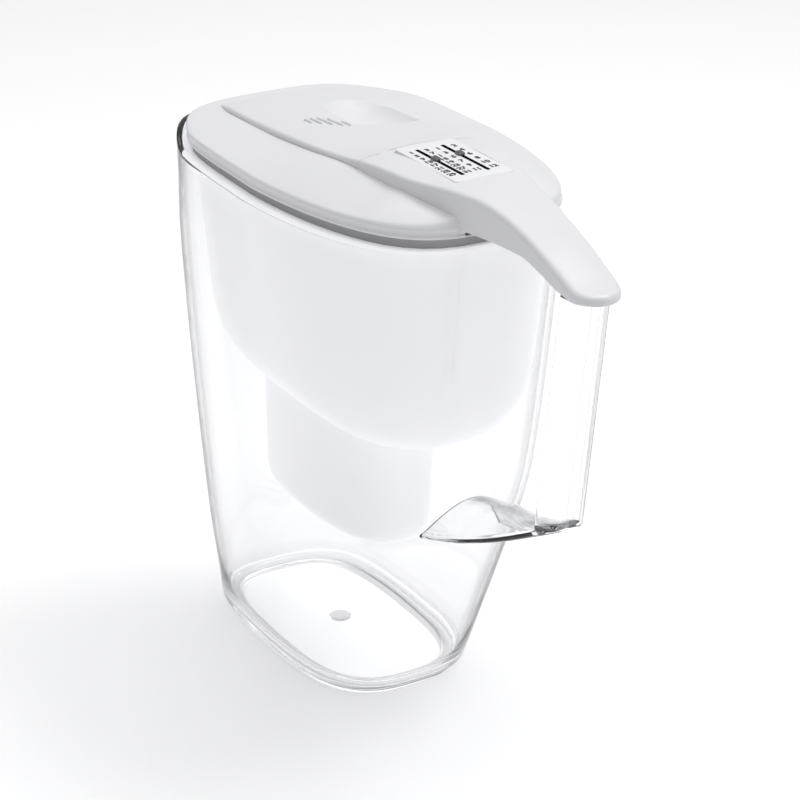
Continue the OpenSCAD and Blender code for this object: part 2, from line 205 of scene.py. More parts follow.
def plastic(name, colour, rough, vary=0.02, grain=1400.0, bump=0.02, coat=0.0, blotch=38.0, spec=0.5, rough_vary=0.05, glow=0.0):
    """Moulded plastic: faint clouding, fine mould texture, a little polish change."""
    mat = bpy.data.materials.new(name)
    nt = nodes_of(mat)
    N, L = nt.nodes, nt.links
    out = N.new("ShaderNodeOutputMaterial")
    p = N.new("ShaderNodeBsdfPrincipled")
    L.new(p.outputs[0], out.inputs["Surface"])
    tc = N.new("ShaderNodeTexCoord")
    n1 = N.new("ShaderNodeTexNoise")
    n1.inputs["Scale"].default_value = blotch
    n1.inputs["Detail"].default_value = 4
    L.new(tc.outputs["Object"], n1.inputs["Vector"])
    r1 = N.new("ShaderNodeValToRGB")
    lo = [max(0, c * (1 - vary)) for c in colour]
    hi = [min(1, c * (1 + vary)) for c in colour]
    r1.color_ramp.elements[0].position, r1.color_ramp.elements[1].position = 0.3, 0.7
    r1.color_ramp.elements[0].color = (*lo, 1)
    r1.color_ramp.elements[1].color = (*hi, 1)
    L.new(n1.outputs["Fac"], r1.inputs["Fac"])
    L.new(r1.outputs["Color"], p.inputs["Base Color"])
    n2 = N.new("ShaderNodeTexNoise")
    n2.inputs["Scale"].default_value = grain
    n2.inputs["Detail"].default_value = 3
    L.new(tc.outputs["Object"], n2.inputs["Vector"])
    mr = N.new("ShaderNodeMapRange")
    mr.inputs["To Min"].default_value = rough - rough_vary
    mr.inputs["To Max"].default_value = rough + rough_vary
    L.new(n1.outputs["Fac"], mr.inputs["Value"])
    L.new(mr.outputs["Result"], p.inputs["Roughness"])
    b = N.new("ShaderNodeBump")
    b.inputs["Strength"].default_value = bump * 10
    b.inputs["Distance"].default_value = 0.00004
    L.new(n2.outputs["Fac"], b.inputs["Height"])
    L.new(b.outputs["Normal"], p.inputs["Normal"])
    p.inputs["Specular IOR Level"].default_value = spec
    p.inputs["Coat Weight"].default_value = coat
    p.inputs["Coat Roughness"].default_value = 0.12
    if glow:
        # painted glow: emission in place of light coming through the hopper's thin white wall; the floor uses it to
        # stay evenly white
        L.new(r1.outputs["Color"], p.inputs["Emission Color"])
        p.inputs["Emission Strength"].default_value = glow
    return mat


def clear(name):
    """Clear moulded plastic: glass with faint flow waves, darker where light runs far inside it, with painted dark
    edges where the surface turns away from view.
    """
    mat = bpy.data.materials.new(name)
    nt = nodes_of(mat)
    N, L = nt.nodes, nt.links
    out = N.new("ShaderNodeOutputMaterial")
    p = N.new("ShaderNodeBsdfPrincipled")
    # painted dark edges: the base colour darkens where the surface turns away from view, in place of dark surroundings
    # seen through the glass
    lw = N.new("ShaderNodeLayerWeight")
    lw.inputs["Blend"].default_value = 0.5
    edge = N.new("ShaderNodeValToRGB")
    el = edge.color_ramp.elements
    el[0].position, el[0].color = 0.0, (0.994, 0.996, 0.997, 1)
    el[1].position, el[1].color = 1.0, (0.05, 0.05, 0.053, 1)
    for pos, c in ((0.6, 0.97), (0.7, 0.8), (0.8, 0.48), (0.9, 0.16)):
        e = el.new(pos)
        e.color = (c, c, c * 1.01, 1)
    L.new(lw.outputs["Facing"], edge.inputs["Fac"])
    p.inputs["Transmission Weight"].default_value = 1.0
    p.inputs["IOR"].default_value = 1.5
    tc = N.new("ShaderNodeTexCoord")
    # the painted edge shade is faint at the foot, the rim and the bracket, where many thin edges lie close together
    xyz = N.new("ShaderNodeSeparateXYZ")
    L.new(tc.outputs["Object"], xyz.inputs[0])
    hr = N.new("ShaderNodeMapRange")
    hr.inputs["From Max"].default_value = 0.25
    L.new(xyz.outputs["Z"], hr.inputs["Value"])
    hm = N.new("ShaderNodeValToRGB")
    he = hm.color_ramp.elements
    he[0].position, he[0].color = 0.03, (0.22, 0.22, 0.22, 1)
    he[1].position, he[1].color = 0.07, (1, 1, 1, 1)
    for pos, c in ((0.933, 1), (0.9375, 0.08), (0.949, 0.08), (0.956, 1)):
        e = he.new(pos)
        e.color = (c, c, c, 1)
    L.new(hr.outputs["Result"], hm.inputs["Fac"])

    def calc(op, a, b):
        m = N.new("ShaderNodeMath")
        m.operation = op
        for i, v in enumerate((a, b)):
            if isinstance(v, (int, float)):
                m.inputs[i].default_value = v
            else:
                L.new(v, m.inputs[i])
        return m.outputs[0]

    web = calc("MULTIPLY", calc("GREATER_THAN", xyz.outputs["X"], 0.124), calc("LESS_THAN", xyz.outputs["Z"], 0.1365))
    amount = calc("MULTIPLY", hm.outputs["Color"], calc("SUBTRACT", 1.0, calc("MULTIPLY", web, 0.75)))
    painted_edge_shade = N.new("ShaderNodeMix")
    painted_edge_shade.data_type = "RGBA"
    painted_edge_shade.inputs[6].default_value = (0.994, 0.996, 0.997, 1)
    L.new(amount, painted_edge_shade.inputs[0])
    L.new(edge.outputs["Color"], painted_edge_shade.inputs[7])
    L.new(painted_edge_shade.outputs[2], p.inputs["Base Color"])
    # painted glow: the top face of the thick clear floor emits light, so the floor seen through the jug reads white
    painted_floor_glow = calc("MULTIPLY", calc("GREATER_THAN", xyz.outputs["Z"], 0.0043), calc("LESS_THAN", xyz.outputs["Z"], 0.0049))
    p.inputs["Emission Color"].default_value = (1, 1, 1, 1)
    L.new(calc("MULTIPLY", painted_floor_glow, 0.34), p.inputs["Emission Strength"])
    n1 = N.new("ShaderNodeTexNoise")
    n1.inputs["Scale"].default_value = 26
    n1.inputs["Detail"].default_value = 2
    L.new(tc.outputs["Object"], n1.inputs["Vector"])
    mr = N.new("ShaderNodeMapRange")
    mr.inputs["To Min"].default_value = 0.0
    mr.inputs["To Max"].default_value = 0.035
    L.new(n1.outputs["Fac"], mr.inputs["Value"])
    L.new(mr.outputs["Result"], p.inputs["Roughness"])
    b = N.new("ShaderNodeBump")
    b.inputs["Strength"].default_value = 0.25
    b.inputs["Distance"].default_value = 0.0003
    L.new(n1.outputs["Fac"], b.inputs["Height"])
    L.new(b.outputs["Normal"], p.inputs["Normal"])
    lp = N.new("ShaderNodeLightPath")
    tr = N.new("ShaderNodeBsdfTransparent")
    tr.inputs["Color"].default_value = (0.955, 0.955, 0.957, 1)
    mx = N.new("ShaderNodeMixShader")
    either = N.new("ShaderNodeMath")
    either.operation = "MAXIMUM"
    L.new(lp.outputs["Is Shadow Ray"], either.inputs[0])
    L.new(lp.outputs["Is Diffuse Ray"], either.inputs[1])
    L.new(either.outputs[0], mx.inputs[0])
    L.new(p.outputs[0], mx.inputs[1])
    L.new(tr.outputs[0], mx.inputs[2])
    L.new(mx.outputs[0], out.inputs["Surface"])
    v = N.new("ShaderNodeVolumeAbsorption")
    v.inputs["Color"].default_value = (0.35, 0.36, 0.37, 1)
    v.inputs["Density"].default_value = 14.0
    L.new(v.outputs[0], out.inputs["Volume"])
    return mat


def steel(name):
    mat = bpy.data.materials.new(name)
    nt = nodes_of(mat)
    N, L = nt.nodes, nt.links
    out = N.new("ShaderNodeOutputMaterial")
    p = N.new("ShaderNodeBsdfPrincipled")
    L.new(p.outputs[0], out.inputs["Surface"])
    p.inputs["Base Color"].default_value = (0.6, 0.61, 0.63, 1)
    p.inputs["Metallic"].default_value = 1.0
    tc = N.new("ShaderNodeTexCoord")
    mp = N.new("ShaderNodeMapping")
    mp.inputs["Scale"].default_value = (4000, 90, 4000)
    L.new(tc.outputs["Object"], mp.inputs["Vector"])
    n = N.new("ShaderNodeTexNoise")
    n.inputs["Scale"].default_value = 1.0
    L.new(mp.outputs["Vector"], n.inputs["Vector"])
    mr = N.new("ShaderNodeMapRange")
    mr.inputs["To Min"].default_value = 0.22
    mr.inputs["To Max"].default_value = 0.42
    L.new(n.outputs["Fac"], mr.inputs["Value"])
    L.new(mr.outputs["Result"], p.inputs["Roughness"])
    return mat


def grains(name, c0, c1, scale, rough):
    """Loose granules or beads: cells of two shades with deep bump."""
    mat = bpy.data.materials.new(name)
    nt = nodes_of(mat)
    N, L = nt.nodes, nt.links
    out = N.new("ShaderNodeOutputMaterial")
    p = N.new("ShaderNodeBsdfPrincipled")
    L.new(p.outputs[0], out.inputs["Surface"])
    tc = N.new("ShaderNodeTexCoord")
    v = N.new("ShaderNodeTexVoronoi")
    v.inputs["Scale"].default_value = scale
    L.new(tc.outputs["Object"], v.inputs["Vector"])
    r = N.new("ShaderNodeValToRGB")
    r.color_ramp.elements[0].color = (*c1, 1)
    r.color_ramp.elements[1].color = (*c0, 1)
    r.color_ramp.elements[1].position = 0.7
    L.new(v.outputs["Distance"], r.inputs["Fac"])
    L.new(r.outputs["Color"], p.inputs["Base Color"])
    b = N.new("ShaderNodeBump")
    b.invert = True
    b.inputs["Strength"].default_value = 0.9
    b.inputs["Distance"].default_value = 0.0005
    L.new(v.outputs["Distance"], b.inputs["Height"])
    L.new(b.outputs["Normal"], p.inputs["Normal"])
    p.inputs["Roughness"].default_value = rough
    return mat


def weave(name, colour):
    """Fine woven screen."""
    mat = bpy.data.materials.new(name)
    nt = nodes_of(mat)
    N, L = nt.nodes, nt.links
    out = N.new("ShaderNodeOutputMaterial")
    p = N.new("ShaderNodeBsdfPrincipled")
    L.new(p.outputs[0], out.inputs["Surface"])
    tc = N.new("ShaderNodeTexCoord")
    hs = []
    for axis in ("X", "Y"):
        w = N.new("ShaderNodeTexWave")
        w.bands_direction = axis
        w.inputs["Scale"].default_value = 420
        w.inputs["Distortion"].default_value = 0.15
        L.new(tc.outputs["Object"], w.inputs["Vector"])
        hs.append(w)
    mx = N.new("ShaderNodeMath")
    mx.operation = "MULTIPLY"
    L.new(hs[0].outputs["Fac"], mx.inputs[0])
    L.new(hs[1].outputs["Fac"], mx.inputs[1])
    r = N.new("ShaderNodeValToRGB")
    r.color_ramp.elements[0].color = (*[c * 0.45 for c in colour], 1)
    r.color_ramp.elements[1].color = (*colour, 1)
    r.color_ramp.elements[1].position = 0.5
    L.new(mx.outputs[0], r.inputs["Fac"])
    L.new(r.outputs["Color"], p.inputs["Base Color"])
    b = N.new("ShaderNodeBump")
    b.inputs["Strength"].default_value = 0.5
    b.inputs["Distance"].default_value = 0.0001
    L.new(mx.outputs[0], b.inputs["Height"])
    L.new(b.outputs["Normal"], p.inputs["Normal"])
    p.inputs["Roughness"].default_value = 0.7
    return mat


M_CLEAR = clear("clear_plastic")
M_LID = plastic("lid_plastic", (0.705, 0.705, 0.725), 0.38, vary=0.01, coat=0.1)
# painted shade: the liner and the arm's underside are dark grey to stand for the shadow in the gap under the lid and
# beneath the arm
M_SHADE_LINER = plastic("liner_painted_shade", (0.34, 0.34, 0.35), 0.55, vary=0.02)
# the hopper glows with painted light, in place of light coming through its thin white wall
M_HOPPER = plastic("hopper_plastic", (0.9, 0.9, 0.915), 0.3, vary=0.008, bump=0.01, glow=0.24)
M_CART = plastic("cartridge_plastic", (0.78, 0.79, 0.8), 0.5, vary=0.02)
M_SEAL = plastic("seal_silicone", (0.5, 0.54, 0.6), 0.6, vary=0.05, bump=0.05)
M_PLATE = plastic("plate_plastic", (0.74, 0.74, 0.76), 0.5, vary=0.01, grain=2600, bump=0.05)
M_KNOB = plastic("knob_plastic", (0.13, 0.132, 0.137), 0.45, vary=0.08, bump=0.05)
# painted shade: near-black for the slide track and the plate's slot walls, standing for the shade down the narrow
# slots
M_SLOT_SHADE = plastic("slot_painted_shade", (0.012, 0.012, 0.013), 0.55, vary=0.1)
M_PRINT = plastic("print_ink", (0.022, 0.022, 0.024), 0.5, vary=0.2, bump=0.01)
M_STEEL = steel("pin_steel")
M_CARBON = grains("carbon_granules", (0.05, 0.05, 0.052), (0.012, 0.012, 0.013), 1100, 0.6)
M_RESIN = grains("resin_beads", (0.5, 0.3, 0.12), (0.25, 0.13, 0.05), 1500, 0.3)
M_MESH = weave("woven_screen", (0.66, 0.67, 0.69))


def dress(ob, mat):
    ob.data.materials.clear()
    ob.data.materials.append(mat)


def finish_piece(ob, body, mat, slot, *nodes):
    dress(ob, mat)
    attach(ob, body)
    if nodes:
        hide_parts(*nodes)
    return ob


# --------------------------------------------------------------- shape rules
RIM, LIP, WALL, FLOOR = 236.0, 243.0, 2.3, 4.6
jug_rear = curve([[0, 68.7], [45, 87], [80, 101], [112, 113.2], [134, 117], [180, 123], [237, 130.4]])
jug_hw = curve([[0, 42.2], [112, 53.4], [237, 62.5]])


jug_b = curve([[0, 0], [20, 0.015], [50, 0.05], [110, 0.058], [190, 0.05], [214, 0.028], [230, 0.005], [243, 0]])


def jug_out(z, off=0.0):
    t = min(1.0, z / 237)
    P = outline(-68.4 - 4.4 * z / 243, float(jug_rear(z)), float(jug_hw(z)), 6 - 2.3 * t, 5 - 3.45 * t,
                2.9 + 0.3 * t, 0.06 * t, -0.15 + 0.2 * t, off)
    P[:, 1] *= 1 + float(jug_b(z)) * smooth(-P[:, 0] / 45)
    return P


rim_z = curve([[-62, 243], [-56, 241.9], [-48, 239.2], [-41, 236.6], [-36, 236]])


def rim_ring(off, dz):
    """A ring along the jug's rim, which rises to the lip at the spout."""
    A, B = jug_out(235.9, off), jug_out(243, off)
    f = ((rim_z(A[:, 0]) - 236) / 7)[:, None]
    P = A * (1 - f) + B * f
    return at(P, rim_z(P[:, 0]) + dz)


def rim_arc(a):
    """Top edge of the wall: a tight radius along the sides, a full round at the raised lip."""
    A, B = rim_ring(0, 0), rim_ring(WALL, 0)
    r = 0.12 + 1.03 * np.clip((A[:, 2] - 236) / 4, 0, 1)
    f = (r * (1 - abs(math.cos(a))) / WALL)
    if a > np.pi / 2:
        f = 1 - f
    P = A * (1 - f)[:, None] + B * f[:, None]
    P[:, 2] += r * (math.sin(a) - 1)
    return P


def jug_body():
    R = []
    # underside, foot and outer wall
    R += [at(jug_out(0, 12), 1.3), at(jug_out(0, 9.2), 1.2), at(jug_out(0, 8.2), 0.5), at(jug_out(0, 7.2), 0.05),
          at(jug_out(0, 3.6), 0), at(jug_out(0, 2.6), 0.25), at(jug_out(0, 2.1), 0.9), at(jug_out(2, 1.8), 2.6),
          at(jug_out(3, 1.7), 3.7), at(jug_out(3.6, 1.3), 4.1), at(jug_out(4, 0.5), 4.35), at(jug_out(4.6, 0.1), 4.8)]
    for z in (5.6, 7, 9.5, 13, 18, 24, 32, 42, 53, 64, 75, 86, 96, 104, 112, 119, 127, 136, 147, 160, 173, 187, 200, 212, 223):
        R.append(at(jug_out(z), z))
    for dz in (-7, -2.4):
        R.append(rim_ring(0, dz))
    for a in (0, 0.4, 0.8, 1.2, np.pi / 2, np.pi / 2 + 1e-6, np.pi - 1.2, np.pi - 0.8, np.pi - 0.4, np.pi):
        R.append(rim_arc(a))
    for dz in (-2.4, -7):
        R.append(rim_ring(WALL, dz))
    for z in (223, 212, 200, 187, 173, 160, 147, 136, 127, 119, 112, 104, 96, 86, 75, 64, 53, 42, 32, 24):
        R.append(at(jug_out(z, WALL), z))
    for z, o in ((18, 2.4), (14, 2.55), (11.5, 2.8), (9.4, 3.3), (7.8, 4.1), (6.5, 5.2), (5.6, 6.5), (5.0, 8.0), (4.7, 9.8), (4.6, 12)):
        R.append(at(jug_out(z, o), z))
    return solid("jug_clear", R, 40)


POST_HW, POST_DP, XT, XB = 9.0, 12.0, 200.0, 187.0


def post_section(x0):
    """Open channel: outer path, rounded tip, inner path, rounded tip."""
    def arc(o, n):
        t = np.linspace(-np.pi / 2, np.pi / 2, 900)
        x = x0 - POST_DP + (POST_DP - o) * np.abs(np.cos(t)) ** 0.62
        y = (POST_HW - o) * np.sign(np.sin(t)) * np.abs(np.sin(t)) ** 0.62
        return np.column_stack(half_resample(x, y, n))
    outer, inner = arc(0, 72), arc(3, 64)[::-1]
    xi = x0 - POST_DP
    a = np.linspace(0, np.pi, 9)[1:-1]
    tip1 = np.column_stack([xi - 1.5 * np.sin(a), POST_HW - 1.5 + 1.5 * np.cos(a)])
    tip0 = np.column_stack([xi - 1.5 * np.sin(a), -(POST_HW - 1.5) + 1.5 * np.cos(a)])
    return np.vstack([outer, tip1, inner, tip0])


def jug_handle():
    zs = np.linspace(0, 1, 26)
    R = []
    for v in zs:
        P = post_section(0.0)
        # lean of the post, and the slanted lower end
        x0 = lambda z: (XB - 0.5) + (XT - XB + 0.5) * (z - 130) / 105.6
        zb = 129.0 + (P[:, 0] + XB - 177) * math.tan(math.radians(28.2))
        z = zb + v * (235.6 - zb)
        R.append(np.column_stack([P[:, 0] + x0(z), P[:, 1], z]))
    post = solid("post", R, 40)
    hw = curve([[92, 21], [104, 22], [133, 22], [150, 17.5], [170, 12], [180, 9.2], [184, 7.5], [187, 5]])
    lo = curve([[92, 95], [104, 98.5], [133, 109], [155, 117.5], [177, 128.5], [194, 137.6]])
    cr = curve([[92, 9], [108, 12], [133, 9], [155, 6], [177, 3], [194, 1]])
    R = []
    for x in np.linspace(97, 186.2, 66):
        h, l, c = float(hw(x)), float(lo(x)), float(cr(x))
        a = np.linspace(-1, 1, 33)
        y = a * (h - 1.4)
        z = l + c * (1 - a * a)
        th = np.linspace(-np.pi / 2, np.pi / 2, 7)[1:-1]
        right = np.column_stack([h - 1.4 + 1.4 * np.cos(th), l + 1.5 + 1.5 * np.sin(th)])
        left = np.column_stack([-(h - 1.4) - 1.4 * np.cos(th), l + 1.5 - 1.5 * np.sin(th)])
        S = np.vstack([np.column_stack([y, z]), right, np.column_stack([y[::-1], z[::-1] + 3]), left])
        R.append(np.column_stack([np.full(len(S), x), S]))
    web = solid("web", R, 40)
    h = boolean(post, web, "UNION")
    core = solid("core", [at(jug_out(z, 1.15), z) for z in (40, 64, 86, 104, 112, 119, 127, 136, 147, 160, 187, 223, 250)])
    return boolean(h, core, "DIFFERENCE")


def gate():
    """Moulding gate: a low lens in the middle of the floor."""
    a = np.linspace(0, 2 * np.pi, 48, endpoint=False)
    R = []
    for r, z in ((5.9, 3.9), (5.9, 4.55), (5.6, 5.2), (5.0, 5.75), (4.2, 6.0), (3.2, 5.9), (2.2, 5.7), (1.2, 5.6), (0.3, 5.58)):
        R.append(np.column_stack([r * np.cos(a), r * np.sin(a), np.full(48, z)]))
    return solid("gate", R, 60)


# --------------------------------------------------------------- jug
jug = jug_body()
jug = boolean(jug, jug_handle(), "UNION", 40)
jug = boolean(jug, gate(), "UNION", 40)
jug.name = "jug_clear"
finish_piece(jug, "jug", M_CLEAR, "clear_plastic", "jug", "spout_lip")


# --------------------------------------------------------------- hopper
def hop_out(z, off=0.0):
    t = min(1.0, z / 237)
    zz = min(z, 236.6)
    return outline(-61 + (236 - zz) * 0.05, float(jug_rear(zz)) - WALL - 2, float(jug_hw(zz)) - WALL - 3 - (236 - zz) * 0.02,
                   3.7, 5 - 3.45 * t, 3.1, 0.06 * t, -0.15 + 0.2 * t, off)


def well_out(off=0.0):
    return outline(9.5 - 52, 9.5 + 52, 26, 3, 3, 2.6, 0, 0, off)


def hopper():
    W, H = lambda z, o: at(well_out(o), z), lambda z, o: at(hop_out(z, o), z)

    def morph(A, B, f, z):
        P = A[:, :2] * (1 - f) + B[:, :2] * f
        return at(P, z)

    def flange(off, z):
        A, B = jug_out(236, off), jug_out(238, WALL + 0.3 + max(off, 0))
        f = smooth((-33 - A[:, 0]) / 7)[:, None]
        P = A * (1 - f) + B * f
        # drawn back to the hopper's wall at the pouring channel
        Q = hop_out(236, -0.6)
        g = (smooth((21 - np.abs(P[:, 1])) / 4) * (P[:, 0] < -30))[:, None]
        return at(P * (1 - g) + Q * g, z)

    outer = [(70.0, 9.6), (70.05, 8.6), (70.5, 7.0), (71.4, 5.3), (73, 3.6), (75.5, 2.1), (79, 1.1), (84, 0.75), (95, 0.6), (110, 0.35), (122, 0.1), (128, -0.1)]
    R = [W(z, o) for z, o in outer]
    w, h = W(130.6, -0.8), H(136.2, 14.0)
    R += [w] + [morph(w, h, f, 130.6 + 5.6 * (0.16 * f + 0.84 * f * f)) for f in (0.12, 0.25, 0.4, 0.55, 0.7, 0.85)] + [h]
    R += [H(z, o) for z, o in ((139, 10.8), (142.5, 7.9), (147, 5.1), (152, 3.0), (158, 1.4), (165, 0.5), (173, 0.08), (182, 0), (195, 0), (210, 0), (225, 0), (234.6, 0))]
    R += [flange(0.04, 236.01), flange(-0.08, 236.12), flange(-0.12, 236.9), flange(0, 237.5), flange(0.4, 237.8)]
    R += [H(z, o) for z, o in ((237.8, 0.9), (237.5, 1.4), (236.6, 1.8), (225, 1.8), (210, 1.8), (195, 1.8), (182, 1.85), (173.5, 2.0), (166, 2.5), (159, 3.5), (153, 5.1), (148, 7.2), (143.6, 9.9), (140.3, 12.8), (137.9, 15.8))]
    h2, w2 = H(137.9, 15.8), W(132.2, 0.9)
    R += [morph(h2, w2, f, 137.9 - 5.7 * (f * (2 - f) * 0.9 + 0.1 * f)) for f in (0.15, 0.3, 0.45, 0.6, 0.75, 0.88)] + [w2]
    R += [W(z, o) for z, o in ((130, 1.6), (122, 1.9), (110, 2.15), (95, 2.4), (84, 2.6), (79.5, 3.1), (76, 4.2), (73.6, 5.9), (72.2, 7.8), (71.8, 9.8))]
    ob = solid("hopper_shell", R, 40)
    slots = join("slots", [box("s", 9.5 + i * 11 - 1.5, -11, 66, 9.5 + i * 11 + 1.5, 11, 75) for i in range(-3, 4)])
    return boolean(ob, slots, "DIFFERENCE", 40)


hop = hopper()
finish_piece(hop, "hopper", M_HOPPER, "hopper_white", "hopper")

# --------------------------------------------------------------- lid rules
SKIN = 2.2


def edge_z(x):
    """Height of the lid's outer edge."""
    return 247.3 - 1.5 * (1 - smooth((np.asarray(x, float) + 69) / 60))


def nose(x):
    return 1 - 0.052 * smooth((-24 - np.asarray(x, float)) / 28)


def lid_out(off=0.0):
    return outline(-70.2, 131, 60.4, 3.7, 1.5, 3.2, 0.05, 0.05, off, NR, nose)


def lid_hw(x):
    u = (np.asarray(x, float) - 30.4) / 100.6
    m = np.where(u < 0, 3.7, 1.5)
    return 60.4 * nose(x) * (1 + 0.05 * u + 0.05 * u * u) * np.clip(1 - np.abs(u) ** m, 0, 1) ** (1 / 3.2)


rise = curve([[-69, 0], [-46, 0.9], [0, 3.1], [24, 5.1], [68, 9.1], [97, 9.0], [115, 5.8], [124, 4.3], [129, 3.6], [131, 3.2]])


def wing(x, y):
    x, y = np.asarray(x, float), np.asarray(y, float)
    return edge_z(x) + rise(x) * (1 - np.minimum(1, np.abs(y) / np.maximum(0.1, lid_hw(x))) ** (2.2 + 1.8 * smooth((x - 90) / 30)))


sp_z = curve([[-66, 249.6], [-46, 251.3], [0, 254.6], [24, 256.2], [60, 259.4], [72, 261.2], [97, 262.8], [120, 262.6], [140, 261.5],
              [153, 259.2], [166, 255.4], [180, 250.2], [190, 245.8], [198, 242.4], [204, 240.6], [206, 240.2], [206.5, 240.1]])
sp_c = curve([[-66, 2.4], [100, 2.6], [140, 1.5], [206, 1.3], [206.5, 1.3]])
sp_a0 = curve([[-66, 21], [-60, 25], [-46, 28.3], [0, 30.4], [24, 30], [68, 28.2], [97, 26.8], [110, 24], [120, 20.6], [130, 17.6],
               [140, 15.2], [153, 13.4], [166, 12.4], [180, 11.9], [192, 11.3], [210, 10.7]])
sp_b = curve([[60, 242.6], [127, 242.6], [134, 245.4], [165, 245.2], [178, 242.2], [189, 238.6], [198, 237], [206, 236.6], [206.5, 236.55]])


def sp_a(x):
    """Half width of the spine; the arm's tip is a half ellipse."""
    x = np.asarray(x, float)
    return sp_a0(x) * np.sqrt(np.clip(1 - (np.clip(x - 196, 0, None) / 10.45) ** 2, 0, 1))


def sp_top(x, y):
    return sp_z(x) - sp_c(x) * (y / sp_a(x)) ** 2


def spine_ring(x, o, d, zb, r, n=36):
    """Closed cross ring of the spine at x: flat bottom, upright sides, rounded shoulders, crowned top."""
    a = max(0.8, float(sp_a(x)) - o)
    r = min(r, a * 0.9)
    d += 1.6 * (1 - math.sqrt(1 - (max(0.0, x - 203.4) / 3.05) ** 2))
    yt = np.linspace(-(a - r), a - r, n)
    zt = sp_top(x, yt) - d
    th = np.linspace(0, np.pi / 2, 8)[1:]
    zr = float(sp_top(x, a - r) - d)
    slope = float(2 * sp_c(x) * (a - r) / sp_a(x) ** 2)
    ys = a - r + r * np.sin(th)
    zs = zr - r * (1 - np.cos(th)) - slope * r * np.sin(th) * 0.6
    zlow = max(zb + 0.3, float(zs[-1]) - 0.6)
    right = np.column_stack([ys, zs])
    side = np.array([[a, zlow * 0.5 + zb * 0.5], [a, zb]])
    S = np.vstack([np.column_stack([yt, zt]), right, side, side[::-1] * [-1, 1], right[::-1] * [-1, 1]])
    return np.column_stack([np.full(len(S), x), S])


def dome(off, drop_z, name, inner=False):
    P = lid_out(off)
    R = []
    if not inner:
        # fine lip along the bottom edge, plain at the nose where the jug's raised lip stands close
        for o, z in ((3.4, 242.2), (0.5, 242.2), (-0.25, 242.32), (-0.45, 242.65), (-0.4, 243.0), (-0.05, 243.3), (0.2, 243.75)):
            Q, P0 = lid_out(o), lid_out(max(o, 0.1))
            f = smooth((Q[:, 0] + 35) / 20)[:, None]
            R.append(at(Q * f + P0 * (1 - f), z))
        for o, v in ((0.2, 0.5), (0.12, 0.85), (0, 1.0)):
            Q = lid_out(o)
            R.append(at(Q, 243.75 + v * (edge_z(Q[:, 0]) - 1.2 - 243.75)))
        for o in (0.05, 0.2, 0.45, 0.8, 1.2):
            Q = lid_out(o)
            W, E = wing(Q[:, 0], Q[:, 1]), edge_z(Q[:, 0]) - 1.2
            R.append(at(Q, E + (W - E) * math.sqrt(1 - (1 - o / 1.2) ** 2)))
    else:
        R += [at(P, 241.5), at(P, edge_z(P[:, 0]) - SKIN)]
    Q = lid_out(off)
    cx = 66.0
    for s in np.concatenate([np.linspace(0.985, 0.8, 14), np.linspace(0.78, 0.1, 26), [0.03]]):
        x, y = cx + s * (Q[:, 0] - cx), s * Q[:, 1]
        R.append(np.column_stack([x, y, wing(x, y) - drop_z]))
    return solid(name, R)


def capsule(r, name):
    """Scoop solid: a capsule along X."""
    a = np.linspace(0, 2 * np.pi, 96, endpoint=False)
    R = []
    for side, cx in ((-1, -9.0), (1, 19.0)):
        ph = np.linspace(0.02, np.pi / 2, 24)
        if side > 0:
            ph = ph[::-1]
        for p in ph:
            rr, dx = r * math.sin(p), r * math.cos(p)
            R.append(np.column_stack([np.full(96, cx + side * dx), 15.5 + rr * np.cos(a), 270.2 + rr * np.sin(a)]))
    return solid(name, R)


def rounded_rect(cx, cy, lx, ly, r, n=8):
    pts = []
    for k, (sx, sy) in enumerate(((1, 1), (-1, 1), (-1, -1), (1, -1))):
        for t in np.linspace(0, np.pi / 2, n):
            a = k * np.pi / 2 + t
            pts.append((cx + sx * (lx / 2 - r) + r * math.cos(a), cy + sy * (ly / 2 - r) + r * math.sin(a)))
    return np.array(pts)


def prism(name, P, z0, z1):
    return solid(name, [at(P, z0), at(P, z1)])


PX, RZ = 97.0, 259.6
HX, HZ = 67.5, 258.1


